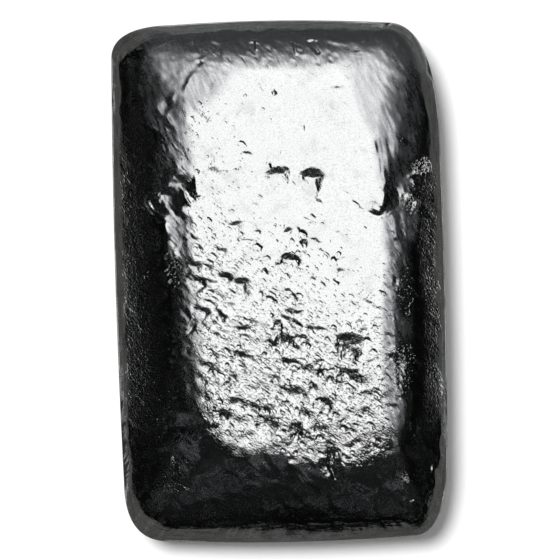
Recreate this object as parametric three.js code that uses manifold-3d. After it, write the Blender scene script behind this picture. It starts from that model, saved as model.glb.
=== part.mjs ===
// A hand-poured silver ingot: one casting from an open mould, with a crowned skin on top.
//
// Frame: millimetres, +Z up. The origin is the middle of the flat face that the ingot rests on,
// +Y runs along its length towards the head end, and +X points to its right-hand side.
//
// The mould gives the flat resting face, its small fillet and the drafted walls. The melt gives
// the rest: it stood proud of the mould, so its skin rolls over a narrow edge, crosses a steeper
// rim that froze against the wall, and rises over wide shoulders to a crowned core. Low ripples,
// two grip marks, sinks and gas pits break that skin.

import * as THREE from 'three';
import { mergeVertices } from 'three/addons/utils/BufferGeometryUtils.js';
import Module from 'manifold-3d';

const { clamp, degToRad, lerp, smoothstep } = THREE.MathUtils;

// ---- Driving dimensions ----------------------------------------------------------------------

const WIDTH = 45.5;
const LENGTH = 72;

// The crown's height at the middle, and how far it falls towards the sides and the ends.
const CROWN_HEIGHT = 10.65;
const CROWN_SAG_SIDES = 0.35;
const CROWN_SAG_ENDS = 0.9;

const DRAFT = degToRad(6);
const FOOT_FILLET = 1.6;

// Height at which the skin leaves the mould wall, towards each corner. The mould stood slightly
// off level, so the melt climbed further up the wall at the head end (+Y) and on the right (+X).
const WALL_TOPS = { footLeft: 6.0, footRight: 6.9, headRight: 7.0, headLeft: 6.8 };

const EDGE_ROLL_RADIUS = 0.15;
const SHOULDER_SLOPE = degToRad(30.5);

// The rim: its mean rise, how much steeper it is than the shoulder, as a tangent, and its width
// at the corners and along the sides.
const RIM_RISE = 0.15;
const RIM_STEEPENING = 0.13;
const RIM_WIDTHS = {
  footLeft: 2.4, foot: 2.7, footRight: 2.3, right: 0.8,
  headRight: 2.0, head: 1.3, headLeft: 2.8, left: 1.0,
};

// Corners of the plan outline. x and y say where the two sides would meet if they were sharp,
// alongEnd and alongSide how far the rounding reaches along the short and the long side.
const OUTLINE_CORNERS = {
  footLeft: { x: -WIDTH / 2 + 0.55, y: -LENGTH / 2 + 0.5, alongEnd: 6, alongSide: 8 },
  footRight: { x: WIDTH / 2 - 0.2, y: -LENGTH / 2 + 0.5, alongEnd: 5, alongSide: 12.5 },
  headRight: { x: WIDTH / 2 - 0.2, y: LENGTH / 2 - 0.65, alongEnd: 7, alongSide: 18 },
  headLeft: { x: -WIDTH / 2 + 0.2, y: LENGTH / 2 - 0.3, alongEnd: 8.5, alongSide: 4.5 },
};
const OUTLINE_BULGE = { foot: 0.5, right: 0.2, head: 0.46, left: 0.35 };

// The core of the skin, where the shoulders end. It sits towards the head end and the right.
const CORE_CORNERS = {
  footLeft: { x: -8.2, y: -18.8, alongEnd: 8, alongSide: 10 },
  footRight: { x: 14.6, y: -22.6, alongEnd: 7, alongSide: 9 },
  headRight: { x: 11.3, y: 24.9, alongEnd: 8, alongSide: 12 },
  headLeft: { x: -11.5, y: 25.7, alongEnd: 8, alongSide: 7 },
};
const CORE_BULGE = { foot: 0, right: 2.2, head: 0, left: 0.9 };

// How full a corner is: 0.55 would be an ellipse, 1 a sharp corner.
const CORNER_FULLNESS = 0.66;

// How square the skin's contours are round each corner, next to the edge and next to the core:
// 2 makes ellipses, and larger numbers come closer to a square corner.
const EDGE_SQUARENESS = { footLeft: 6, footRight: 4.5, headRight: 2.2, headLeft: 9 };
const CORE_SQUARENESS = 2;

// How far in from the edge the skin is drawn down to it, where its contours miss the edge.
const CORNER_DROP_REACH = 4.2;

// Relief fades out over this part of the shoulder, next to the rolled edge.
const RELIEF_FADE = 0.15;

// Low ripples of the skin: crest to crest, the way that they run, in degrees from +X towards +Y,
// and their height.
const RIPPLES = [
  { length: 17, turn: 38, height: 0.07 },
  { length: 10.5, turn: -62, height: 0.06 },
  { length: 6.5, turn: -35, height: 0.04 },
];

// Hollows pressed or sunk into the skin while it was soft: middle, full length and width, depth,
// and the turn of the length from +X towards +Y, in degrees.
const HOLLOWS = [
  // the tool that gripped the bar on its left-hand shoulder, and the drag mark below it
  { x: -14.6, y: 12.3, length: 8.2, width: 5.6, depth: 0.5, turn: 60 },
  { x: -13.8, y: 9.4, length: 6.4, width: 2.2, depth: 0.35, turn: -22 },
  // the same tool on the right-hand shoulder, with a groove that runs down to the core
  { x: 16.6, y: 13.6, length: 8.6, width: 5.4, depth: 0.55, turn: 72 },
  { x: 12.9, y: 9.3, length: 6.8, width: 2.2, depth: 0.4, turn: -12 },
  // a cold dent at the head end's left corner
  { x: -14.7, y: 24.6, length: 6.2, width: 3.4, depth: 0.35, turn: -50 },
  // sinks left by shrinkage
  { x: 9.5, y: -8.6, length: 4.8, width: 3.8, depth: 0.35, turn: -10 },
  { x: 9.9, y: -13.4, length: 5.2, width: 2.8, depth: 0.35, turn: -35 },
  { x: 15.6, y: -10.5, length: 3.6, width: 2.6, depth: 0.25, turn: 5 },
  { x: -8.5, y: 0.2, length: 8, width: 3, depth: 0.2, turn: -12 },
  { x: 7, y: -25.6, length: 9, width: 2.6, depth: 0.25, turn: -80 },
  // the two foot corners, where the skin fell away as it froze
  { x: -12.3, y: -23.3, length: 26, width: 15, depth: 0.4, turn: -49 },
  { x: 16, y: -25.5, length: 20, width: 13, depth: 0.35, turn: 45 },
];

// Gas pits: middle, length, width, depth and turn of the length, as above. Each is steep on the
// side towards the head, and runs out gently towards the foot.
const PIT_LEAN = degToRad(14);
const PITS = [
  { x: -0.1, y: 14.9, length: 3.4, width: 1.7, depth: 0.4, turn: 10 },
  { x: 4.8, y: 14.6, length: 3.6, width: 2, depth: 0.45, turn: -5 },
  { x: -4.1, y: 17.6, length: 1.8, width: 0.8, depth: 0.25, turn: -15 },
  { x: -8.8, y: 14.9, length: 2.4, width: 1.2, depth: 0.3, turn: -20 },
  { x: -5.9, y: 7.9, length: 2.1, width: 1.1, depth: 0.3, turn: 10 },
  { x: 1.3, y: 6.7, length: 1.5, width: 1.1, depth: 0.3, turn: 15 },
  { x: 4.2, y: 6.3, length: 3.2, width: 0.9, depth: 0.25, turn: -28 },
  { x: 1.5, y: 2.9, length: 3, width: 1.6, depth: 0.4, turn: -10 },
  { x: -11.4, y: 2.5, length: 1.9, width: 1, depth: 0.25, turn: 5 },
  { x: -10.9, y: 0.4, length: 3.2, width: 1.2, depth: 0.3, turn: -12 },
  { x: -7.4, y: 0.8, length: 1.8, width: 1.2, depth: 0.3, turn: 5 },
  { x: -5.3, y: 0, length: 2.2, width: 1.4, depth: 0.3, turn: 0 },
  { x: -10.5, y: -3.8, length: 2.8, width: 1.1, depth: 0.3, turn: -30 },
  { x: -4.8, y: -6.4, length: 2.1, width: 1.2, depth: 0.3, turn: 10 },
  { x: 1.2, y: -5.5, length: 3.5, width: 1.3, depth: 0.3, turn: -25 },
  { x: 0.8, y: -7.5, length: 2.8, width: 1.4, depth: 0.35, turn: -30 },
  { x: -5.5, y: -9.9, length: 2, width: 1.1, depth: 0.3, turn: -20 },
  { x: 1.2, y: -10.8, length: 2.6, width: 0.9, depth: 0.25, turn: -15 },
  { x: 1.6, y: -15.2, length: 3.2, width: 1.6, depth: 0.35, turn: -5 },
  { x: -9.5, y: -11.5, length: 2.7, width: 1, depth: 0.3, turn: -30 },
  { x: -6.7, y: -16.1, length: 2.1, width: 1.2, depth: 0.3, turn: -5 },
  { x: -1.9, y: -18.6, length: 4, width: 1.7, depth: 0.35, turn: -30 },
  { x: 3.2, y: -17.8, length: 2, width: 1.1, depth: 0.3, turn: -25 },
  { x: 6.2, y: -16.6, length: 2.1, width: 1.2, depth: 0.3, turn: -15 },
  { x: -7.7, y: -17.9, length: 1.9, width: 1.1, depth: 0.25, turn: -20 },
  { x: 1.9, y: -20, length: 2.4, width: 1.2, depth: 0.3, turn: -15 },
  { x: 8.5, y: 26.3, length: 1.8, width: 1.2, depth: 0.3, turn: 5 },
];

// ---- Mesh density ----------------------------------------------------------------------------

const CORNER_STEPS = 8;
const END_STEPS = 20;
const SIDE_STEPS = 36;
const FILLET_STEPS = 4;
const WALL_STEPS = 2;
const ROLL_STEPS = 2;
const SHOULDER_STEPS = 11;
const SHOULDER_CROWDING = 1.2;
const PIT_SIDES = 12;
const PIT_RINGS = 8;

const GRID_COLUMNS = END_STEPS + CORNER_STEPS;
const GRID_ROWS = SIDE_STEPS + CORNER_STEPS;

// ---- Plan outlines ---------------------------------------------------------------------------

// The start and end of a corner's rounding, for a corner that lies towards signX and signY.
function cornerEnds(corner, signX, signY) {
  const tip = new THREE.Vector2(corner.x, corner.y);
  const onEnd = new THREE.Vector2(corner.x - signX * corner.alongEnd, corner.y);
  const onSide = new THREE.Vector2(corner.x, corner.y - signY * corner.alongSide);
  return { tip, onEnd, onSide };
}

function cornerCurve(from, tip, to) {
  const leaving = from.clone().lerp(tip, CORNER_FULLNESS);
  const arriving = to.clone().lerp(tip, CORNER_FULLNESS);
  return new THREE.CubicBezierCurve(from, leaving, arriving, to);
}

// A side is a shallow bow, standing out to its right as it is walked by `bulge` at its middle.
function sideCurve(from, to, bulge) {
  const along = to.clone().sub(from).normalize();
  const outwards = new THREE.Vector2(along.y, -along.x);
  const handle = from.clone().lerp(to, 0.5).addScaledVector(outwards, 2 * bulge);
  return new THREE.QuadraticBezierCurve(from, handle, to);
}

// Points once round a plan outline, counter-clockwise from the middle of its foot-left corner, so
// that each of the four runs between corner middles has GRID_COLUMNS or GRID_ROWS steps.
function outlinePoints(corners, bulge) {
  const footLeft = cornerEnds(corners.footLeft, -1, -1);
  const footRight = cornerEnds(corners.footRight, 1, -1);
  const headRight = cornerEnds(corners.headRight, 1, 1);
  const headLeft = cornerEnds(corners.headLeft, -1, 1);
  const stretches = [
    [cornerCurve(footLeft.onSide, footLeft.tip, footLeft.onEnd), CORNER_STEPS],
    [sideCurve(footLeft.onEnd, footRight.onEnd, bulge.foot), END_STEPS],
    [cornerCurve(footRight.onEnd, footRight.tip, footRight.onSide), CORNER_STEPS],
    [sideCurve(footRight.onSide, headRight.onSide, bulge.right), SIDE_STEPS],
    [cornerCurve(headRight.onSide, headRight.tip, headRight.onEnd), CORNER_STEPS],
    [sideCurve(headRight.onEnd, headLeft.onEnd, bulge.head), END_STEPS],
    [cornerCurve(headLeft.onEnd, headLeft.tip, headLeft.onSide), CORNER_STEPS],
    [sideCurve(headLeft.onSide, footLeft.onSide, bulge.left), SIDE_STEPS],
  ];
  const points = stretches.flatMap(([curve, steps]) => curve.getSpacedPoints(steps).slice(0, -1));
  const half = CORNER_STEPS / 2;
  return [...points.slice(half), ...points.slice(0, half)];
}

function inwardNormals(points) {
  const count = points.length;
  return points.map((_, i) => {
    const along = points[(i + 1) % count].clone().sub(points[(i + count - 1) % count]).normalize();
    return new THREE.Vector2(-along.y, along.x);
  });
}

// ---- Heights of the skin ---------------------------------------------------------------------

const sum = (values) => values.reduce((total, value) => total + value, 0);

// A plan point's place between the left and right end of the width, and the foot and head end.
function placeInPlan(x, y) {
  return { across: x / WIDTH + 0.5, along: y / LENGTH + 0.5 };
}

// A value at a plan point, from its values at the four corners.
function betweenCorners(values, x, y) {
  const { across, along } = placeInPlan(x, y);
  const foot = lerp(values.footLeft, values.footRight, across);
  const head = lerp(values.headLeft, values.headRight, across);
  return lerp(foot, head, along);
}

function wallTop(x, y) {
  return betweenCorners(WALL_TOPS, x, y);
}

function crown(x, y) {
  const sag = CROWN_SAG_SIDES * (2 * x / WIDTH) ** 2 + CROWN_SAG_ENDS * (2 * y / LENGTH) ** 2;
  return CROWN_HEIGHT - sag;
}

// How far a plan point is inside the foot, right, head and left side of an outline.
function depthsInside(corners, bulge, x, y) {
  const { across, along } = placeInPlan(x, y);
  const bowAcross = 4 * across * (1 - across);
  const bowAlong = 4 * along * (1 - along);
  return [
    y - lerp(corners.footLeft.y, corners.footRight.y, across) + bulge.foot * bowAcross,
    lerp(corners.footRight.x, corners.headRight.x, along) + bulge.right * bowAlong - x,
    lerp(corners.headLeft.y, corners.headRight.y, across) + bulge.head * bowAcross - y,
    x - lerp(corners.footLeft.x, corners.headLeft.x, along) + bulge.left * bowAlong,
  ];
}

// The skin without its relief. It leaves the rolled edge at SHOULDER_SLOPE and eases off as the
// surface of a liquid does, up to the crowned core. `outwards` says for each side how far a point
// is from the core towards that side, 1 being at the edge, and round the corners two of them are
// joined into one distance, as the radius of a superellipse is.
function smoothForm(x, y) {
  const edge = wallTop(x, y) + EDGE_ROLL_RADIUS * Math.cos(SHOULDER_SLOPE) + RIM_RISE;
  const rise = crown(x, y) - edge;
  const outer = depthsInside(OUTLINE_CORNERS, OUTLINE_BULGE, x, y);
  const inner = depthsInside(CORE_CORNERS, CORE_BULGE, x, y);
  const reaches = outer.map((depth, side) => depth - inner[side]);
  const outwards = outer.map((depth, side) => 1 - clamp(depth / reaches[side], 0, 1));
  const edgeSquareness = betweenCorners(EDGE_SQUARENESS, x, y);
  const squareness = lerp(CORE_SQUARENESS, edgeSquareness, Math.max(...outwards));
  const shares = outwards.map((part) => part ** squareness);
  const total = sum(shares);
  if (total === 0) return edge + rise;
  const reach = sum(shares.map((share, side) => share * reaches[side])) / total;
  const easing = Math.tan(SHOULDER_SLOPE) * reach / rise;
  return edge + rise * (1 - Math.min(1, total ** (1 / squareness)) ** easing);
}

function rippleHeight(ripple, x, y) {
  const turn = degToRad(ripple.turn);
  const waves = (x * Math.cos(turn) + y * Math.sin(turn)) / ripple.length;
  return ripple.height * Math.sin(2 * Math.PI * waves);
}

// A hollow is deepest at its middle and meets the skin around it without an edge.
function hollowDepth(hollow, x, y) {
  const turn = degToRad(hollow.turn);
  const dx = x - hollow.x;
  const dy = y - hollow.y;
  const along = (dx * Math.cos(turn) + dy * Math.sin(turn)) / (hollow.length / 2);
  const across = (dy * Math.cos(turn) - dx * Math.sin(turn)) / (hollow.width / 2);
  const inside = Math.max(0, 1 - along * along - across * across);
  return hollow.depth * inside * inside;
}

function relief(x, y) {
  const rippled = sum(RIPPLES.map((ripple) => rippleHeight(ripple, x, y)));
  return rippled - sum(HOLLOWS.map((hollow) => hollowDepth(hollow, x, y)));
}

function skinHeight(x, y) {
  return smoothForm(x, y) + relief(x, y);
}

// ---- Rings of the loft, from the resting face up to the core ---------------------------------

// One ring: every outline point moved inwards and set at its height, both worked out from the
// height at which the skin leaves the wall there.
function ring(outline, inwards, insetAndHeight) {
  return outline.map((point, i) => {
    const [inset, z] = insetAndHeight(wallTop(point.x, point.y));
    const moved = point.clone().addScaledVector(inwards[i], inset);
    return new THREE.Vector3(moved.x, moved.y, z);
  });
}

function filletRings(outline, inwards) {
  const tangentHeight = FOOT_FILLET * (1 - Math.sin(DRAFT));
  return Array.from({ length: FILLET_STEPS }, (_, k) => {
    const turn = lerp(Math.PI / 2, DRAFT, k / FILLET_STEPS);
    return ring(outline, inwards, (top) => {
      const middle = (top - tangentHeight) * Math.tan(DRAFT) + FOOT_FILLET * Math.cos(DRAFT);
      return [middle - FOOT_FILLET * Math.cos(turn), FOOT_FILLET * (1 - Math.sin(turn))];
    });
  });
}

function wallRings(outline, inwards) {
  const tangentHeight = FOOT_FILLET * (1 - Math.sin(DRAFT));
  return Array.from({ length: WALL_STEPS }, (_, k) => ring(outline, inwards, (top) => {
    const z = lerp(tangentHeight, top, k / WALL_STEPS);
    return [(top - z) * Math.tan(DRAFT), z];
  }));
}

function rollRings(outline, inwards) {
  const fullTurn = Math.PI / 2 - SHOULDER_SLOPE;
  return Array.from({ length: ROLL_STEPS + 1 }, (_, k) => {
    const turn = fullTurn * k / ROLL_STEPS;
    return ring(outline, inwards, (top) => [
      EDGE_ROLL_RADIUS * (1 - Math.cos(turn)),
      top + EDGE_ROLL_RADIUS * Math.sin(turn),
    ]);
  });
}

// The rim's width at each outline point, for the run from one corner's middle to the next one's:
// it changes from the corner's width to the side's within CORNER_STEPS, and back as fast.
function rimWidthsOfRun(from, side, to, steps) {
  return Array.from({ length: steps }, (_, k) => {
    const awayFromStart = Math.min(1, k / CORNER_STEPS);
    const nearEnd = Math.max(0, 1 - (steps - k) / CORNER_STEPS);
    return lerp(lerp(from, side, awayFromStart), to, nearEnd);
  });
}

function rimWidths() {
  const { footLeft, foot, footRight, right, headRight, head, headLeft, left } = RIM_WIDTHS;
  return [
    ...rimWidthsOfRun(footLeft, foot, footRight, GRID_COLUMNS),
    ...rimWidthsOfRun(footRight, right, headRight, GRID_ROWS),
    ...rimWidthsOfRun(headRight, head, headLeft, GRID_COLUMNS),
    ...rimWidthsOfRun(headLeft, left, footLeft, GRID_ROWS),
  ];
}

// Rings from the rolled edge to the core, first over the steeper rim.
function shoulderRings(edge, core) {
  const widths = rimWidths();
  const gaps = edge.map((start, i) => {
    return smoothForm(start.x, start.y) - start.z - RIM_STEEPENING * widths[i];
  });
  return Array.from({ length: SHOULDER_STEPS }, (_, k) => {
    const part = ((k + 1) / SHOULDER_STEPS) ** SHOULDER_CROWDING;
    const reliefShare = smoothstep(part, 0, RELIEF_FADE);
    return edge.map((start, i) => {
      const x = lerp(start.x, core[i].x, part);
      const y = lerp(start.y, core[i].y, part);
      const inwards = Math.hypot(x - start.x, y - start.y);
      const leftOfRim = Math.max(0, widths[i] - inwards);
      const leftOfGap = gaps[i] * Math.max(0, 1 - inwards / CORNER_DROP_REACH) ** 2;
      const drop = RIM_STEEPENING * leftOfRim + leftOfGap;
      return new THREE.Vector3(x, y, smoothForm(x, y) - drop + relief(x, y) * reliefShare);
    });
  });
}

// ---- Core ------------------------------------------------------------------------------------

// A Coons patch over the core: grid points between its four runs, which meet at the corners.
function corePoint(core, column, row) {
  const u = column / GRID_COLUMNS;
  const v = row / GRID_ROWS;
  const foot = core[column];
  const right = core[GRID_COLUMNS + row];
  const head = core[2 * GRID_COLUMNS + GRID_ROWS - column];
  const left = core[(core.length - row) % core.length];
  const blend = (axis) => {
    const cornerA = core[0][axis] * (1 - u) + core[GRID_COLUMNS][axis] * u;
    const cornerB = core[core.length - GRID_ROWS][axis] * (1 - u)
      + core[GRID_COLUMNS + GRID_ROWS][axis] * u;
    return foot[axis] * (1 - v) + head[axis] * v + left[axis] * (1 - u) + right[axis] * u
      - cornerA * (1 - v) - cornerB * v;
  };
  const x = blend('x');
  const y = blend('y');
  return new THREE.Vector3(x, y, skinHeight(x, y));
}

// ---- Closed mesh -----------------------------------------------------------------------------

function bandFaces(first, second, count) {
  const faces = [];
  for (let i = 0; i < count; i += 1) {
    const next = (i + 1) % count;
    faces.push(first + i, first + next, second + next, first + i, second + next, second + i);
  }
  return faces;
}

// The core's faces: its outermost points are those of the last shoulder ring.
function coreFaces(lastRing, count, firstInner) {
  const vertex = (column, row) => {
    if (row === 0) return lastRing + column;
    if (column === GRID_COLUMNS) return lastRing + GRID_COLUMNS + row;
    if (row === GRID_ROWS) return lastRing + 2 * GRID_COLUMNS + GRID_ROWS - column;
    if (column === 0) return lastRing + count - row;
    return firstInner + (row - 1) * (GRID_COLUMNS - 1) + column - 1;
  };
  const faces = [];
  for (let row = 0; row < GRID_ROWS; row += 1) {
    for (let column = 0; column < GRID_COLUMNS; column += 1) {
      const a = vertex(column, row);
      const b = vertex(column + 1, row);
      const c = vertex(column + 1, row + 1);
      const d = vertex(column, row + 1);
      faces.push(a, b, c, a, c, d);
    }
  }
  return faces;
}

function castingGeometry() {
  const outline = outlinePoints(OUTLINE_CORNERS, OUTLINE_BULGE);
  const inwards = inwardNormals(outline);
  const core = outlinePoints(CORE_CORNERS, CORE_BULGE);
  const count = outline.length;

  const rings = [
    ...filletRings(outline, inwards),
    ...wallRings(outline, inwards),
    ...rollRings(outline, inwards),
  ];
  rings.push(...shoulderRings(rings.at(-1), core));

  const vertices = rings.flat();
  const firstInner = vertices.length;
  for (let row = 1; row < GRID_ROWS; row += 1) {
    for (let column = 1; column < GRID_COLUMNS; column += 1) {
      vertices.push(corePoint(core, column, row));
    }
  }

  const lastRing = (rings.length - 1) * count;
  const restingFace = THREE.ShapeUtils.triangulateShape(rings[0], []);
  const faces = [
    ...restingFace.flatMap(([a, b, c]) => [a, c, b]),
    ...rings.slice(1).flatMap((_, k) => bandFaces(k * count, (k + 1) * count, count)),
    ...coreFaces(lastRing, count, firstInner),
  ];

  const geometry = new THREE.BufferGeometry().setFromPoints(vertices);
  geometry.setIndex(faces);
  return geometry;
}

// ---- Gas pits --------------------------------------------------------------------------------

const wasm = await Module();
wasm.setup();

function toSolid(geometry) {
  const bare = geometry.clone();
  bare.deleteAttribute('normal');
  bare.deleteAttribute('uv');
  const merged = mergeVertices(bare);
  return new wasm.Manifold(new wasm.Mesh({
    numProp: 3,
    vertProperties: merged.attributes.position.array,
    triVerts: Uint32Array.from(merged.index.array),
  }));
}

// A pit is the lower part of a flattened ball whose middle lies in the skin. It leans over, which
// makes one side steep and lets the other run out.
function pitSolid(pit) {
  const ball = new THREE.SphereGeometry(1, PIT_SIDES, PIT_RINGS);
  ball.rotateX(Math.PI / 2);
  ball.scale(pit.length / 2, pit.width / 2, pit.depth);
  ball.rotateX(-PIT_LEAN);
  ball.rotateZ(degToRad(pit.turn));
  ball.translate(pit.x, pit.y, skinHeight(pit.x, pit.y));
  return toSolid(ball);
}

function withPits(geometry) {
  const solid = PITS.reduce((left, pit) => left.subtract(pitSolid(pit)), toSolid(geometry));
  const mesh = solid.getMesh();
  const pitted = new THREE.BufferGeometry();
  pitted.setAttribute('position', new THREE.BufferAttribute(mesh.vertProperties, mesh.numProp));
  pitted.setIndex(new THREE.BufferAttribute(mesh.triVerts, 1));
  pitted.computeVertexNormals();
  return pitted;
}

// ---- The part --------------------------------------------------------------------------------

const silver = new THREE.MeshStandardMaterial({ color: 0xe4e5e6, metalness: 1, roughness: 0.2 });

const ingot = new THREE.Mesh(withPits(castingGeometry()), silver);
ingot.name = 'ingot';

const part = new THREE.Group();
part.add(ingot);

export default part;
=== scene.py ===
"""A hand-poured silver ingot, seen from straight above in a dark studio.

The casting is one closed mesh that replaces the CAD node. It has the same plan outline and
section, and adds the relief of the melt's skin: grip marks, gas pits, folds, flow streaks and
pebbling. Shapes are worked out in millimetres in the row frame, and become metres in the mesh.
"""

import math

import bpy
import numpy as np
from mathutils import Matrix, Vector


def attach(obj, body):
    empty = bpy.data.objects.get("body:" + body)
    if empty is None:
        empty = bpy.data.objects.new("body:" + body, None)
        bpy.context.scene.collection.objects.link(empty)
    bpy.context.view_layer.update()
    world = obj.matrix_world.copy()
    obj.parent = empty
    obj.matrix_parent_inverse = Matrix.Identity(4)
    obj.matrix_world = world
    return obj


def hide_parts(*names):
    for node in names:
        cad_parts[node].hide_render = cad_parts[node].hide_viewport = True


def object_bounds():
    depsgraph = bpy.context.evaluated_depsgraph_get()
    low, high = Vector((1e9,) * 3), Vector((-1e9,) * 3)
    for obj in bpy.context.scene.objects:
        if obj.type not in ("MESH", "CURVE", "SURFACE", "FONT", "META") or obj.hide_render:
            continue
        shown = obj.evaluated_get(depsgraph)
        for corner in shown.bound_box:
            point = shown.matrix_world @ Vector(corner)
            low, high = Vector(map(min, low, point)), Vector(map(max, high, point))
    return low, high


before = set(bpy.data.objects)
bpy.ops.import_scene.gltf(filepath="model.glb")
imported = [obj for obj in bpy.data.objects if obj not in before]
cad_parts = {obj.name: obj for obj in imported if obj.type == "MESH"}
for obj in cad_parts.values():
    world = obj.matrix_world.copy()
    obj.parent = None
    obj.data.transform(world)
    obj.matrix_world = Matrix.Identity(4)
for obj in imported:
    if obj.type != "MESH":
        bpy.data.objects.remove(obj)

CAD_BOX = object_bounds()
MM = 0.001

# Keeps divisors above zero.
TINY = 1e-6

# ---- Driving dimensions, in millimetres ----

WIDTH = (CAD_BOX[1].x - CAD_BOX[0].x) / MM
LENGTH = (CAD_BOX[1].y - CAD_BOX[0].y) / MM
HEIGHT = (CAD_BOX[1].z - CAD_BOX[0].z) / MM

DRAFT = math.radians(6)
FOOT_FILLET = 1.6
WALL_TOPS = {"foot_left": 6.0, "foot_right": 6.9, "head_right": 7.0, "head_left": 6.8}
EDGE_ROLL_RADIUS = 0.15
SHOULDER_SLOPE = math.radians(30.5)

# The rim: its mean rise, how much steeper it is than the shoulder, as a tangent, how softly it
# ends, and its width at the corners and along the sides.
RIM_RISE = 0.15
RIM_STEEPENING = 0.13
RIM_SOFTNESS = 0.05
RIM_WIDTHS = {
    "foot_left": 2.4, "foot": 2.7, "foot_right": 2.3, "right": 0.8,
    "head_right": 2.0, "head": 1.3, "head_left": 3.0, "left": 1.0,
}

# The crown's height at the middle, and how far it falls towards the sides and the ends. The
# highest ripples stand up to the top of the box.
CROWN_HEIGHT = 10.65
CROWN_SAG_SIDES = 0.35
CROWN_SAG_ENDS = 0.9

# Corners of the outline, as in the CAD part: where the sides would meet if they were sharp, and
# how far the rounding reaches along the short and the long side. The core, the level middle of
# the skin, has them in the same form.
OUTLINE_CORNERS = {
    "foot_left": (-WIDTH / 2 + 0.55, -LENGTH / 2 + 0.5, 6, 8),
    "foot_right": (WIDTH / 2 - 0.2, -LENGTH / 2 + 0.5, 5, 12.5),
    "head_right": (WIDTH / 2 - 0.2, LENGTH / 2 - 0.65, 7, 18),
    "head_left": (-WIDTH / 2 + 0.2, LENGTH / 2 - 0.3, 8.5, 4.5),
}
OUTLINE_BULGE = {"foot": 0.5, "right": 0.2, "head": 0.46, "left": 0.35}
CORE_CORNERS = {
    "foot_left": (-8.2, -18.8, 8, 10),
    "foot_right": (14.6, -22.6, 7, 9),
    "head_right": (11.3, 24.9, 8, 12),
    "head_left": (-11.1, 25.4, 9.5, 9),
}
CORE_BULGE = {"foot": 0, "right": 2.2, "head": 0, "left": 0.9}

# Which way each corner points, counter-clockwise, and how far its curve leans into its tip.
CORNER_SIGNS = {
    "foot_left": (-1, -1), "foot_right": (1, -1), "head_right": (1, 1), "head_left": (-1, 1),
}
CORNER_FULLNESS = 0.66

# A slight shrinking, which keeps the outline's rounded numbers inside the CAD box.
OUTLINE_FIT = 0.9999

# How square the skin's contours are round each corner, next to the edge and next to the core.
# 2 makes ellipses, and larger numbers squarer corners.
EDGE_SQUARENESS = {"foot_left": 6.0, "foot_right": 4.5, "head_right": 2.2, "head_left": 9.0}
CORE_SQUARENESS = 2.0

# How far in from the rolled edge the smooth form is lowered to meet it.
EDGE_DROP_REACH = 4.2

# ---- Mesh density ----

# Steps round the outline and up the section. The shoulder's rings are closer near the edge.
CORNER_STEPS = 38
END_STEPS = 112
SIDE_STEPS = 192
FILLET_STEPS = 3
WALL_STEPS = 3
ROLL_STEPS = 3
SHOULDER_STEPS = 68
SHOULDER_CROWDING = 1.1
CURVE_SAMPLES = 400

STEPS_OF_SIDES = {
    "foot": END_STEPS, "right": SIDE_STEPS, "head": END_STEPS, "left": SIDE_STEPS,
}
GRID_COLUMNS = END_STEPS + CORNER_STEPS
GRID_ROWS = SIDE_STEPS + CORNER_STEPS

# ---- Relief ----

# Random relief: bump length and width, turn of the length from +X towards +Y, RMS slope in
# degrees, and how far the bumps lean towards the foot-left, which makes that side steep.
SWELL = {"seed": 11, "length": 14, "width": 10, "turn": 30, "slope": 0.8}
RIPPLE = {"seed": 12, "length": 5, "width": 3, "turn": -50, "slope": 1.7, "lean": 0.3}
STREAKS = {"seed": 13, "length": 2.6, "width": 1.2, "turn": -40, "slope": 1.2, "lean": 0.2}
PEBBLES = {"seed": 14, "length": 1.3, "width": 0.8, "turn": -35, "slope": 1.4, "lean": 0.12}
FOLDS = {"seed": 17, "length": 2.6, "width": 1.0, "turn": -58, "slope": 5.0, "lean": 0.15}
LEAN_TOWARDS = (-0.5, -0.87)

# Folds grow with the dullness of the skin, up to this much of it.
FOLDING_LIMIT = 0.8

# Random shifts in the plan: of the rim's inner edge, and of all that is placed from the lists.
NOTCHES = {"length": 5, "width": 5, "turn": 0, "slope": 18}
FINE_NOTCHES = {"length": 1.1, "width": 1.1, "turn": 0, "slope": 22}
WARP = {"length": 1.6, "width": 1.6, "turn": 0, "slope": 11}
FINE_WARP = {"length": 0.6, "width": 0.6, "turn": 0, "slope": 16}
LEAST_RIM_WIDTH = 0.2

# Grid of the random reliefs: its step, and how many steps it reaches beyond the plan.
FIELD_STEP = 0.11
FIELD_MARGIN = 20

# Roughness of the skin at the foot, its fall towards the head, where that starts and how long
# it takes, and its rise per mm to the left.
ROUGHNESS_AT_FOOT = 1.4
ROUGHNESS_FALL = 0.85
SMOOTHER_FROM = -24
SMOOTHER_OVER = 36
ROUGHER_TO_LEFT = 0.012

# Strength of the fine relief next to the rim, the part of the way to the core over which it
# grows to its full strength, and the mm over which the rim's own smoothness ends.
WRINKLING_AT_EDGE = 0.25
WRINKLING_GROWS = (0.68, 0.9)
OFF_RIM = (-0.1, 0.7)

# The grain of the outer shoulder: the part of the way to the core over which it ends, and its
# strength at the ends of the bar, between two distances from the middle.
GRAIN_ENDS = (0.3, 0.6)
GRAIN_AT_BAR_ENDS = 0.25
GRAIN_WEAKENS = (28, 12)

# Small nicks at random, mostly at the foot and on the left. Bounds of the middle, of the turn, of
# the arch and the steep side as parts of the length, and of a chance that rough skin beats.
NICK_SEED = 15
NICK_TRIES = 520
NICK_TURN = -35
NICK_LOWEST = (-16, -26, -25, 0.05, 0.22, 0)
NICK_HIGHEST = (17, 28, 25, 0.3, 0.38, 1.3)
NICK_LENGTHS = (0.6, 1.4)
NICK_REACH = 2.5

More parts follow.
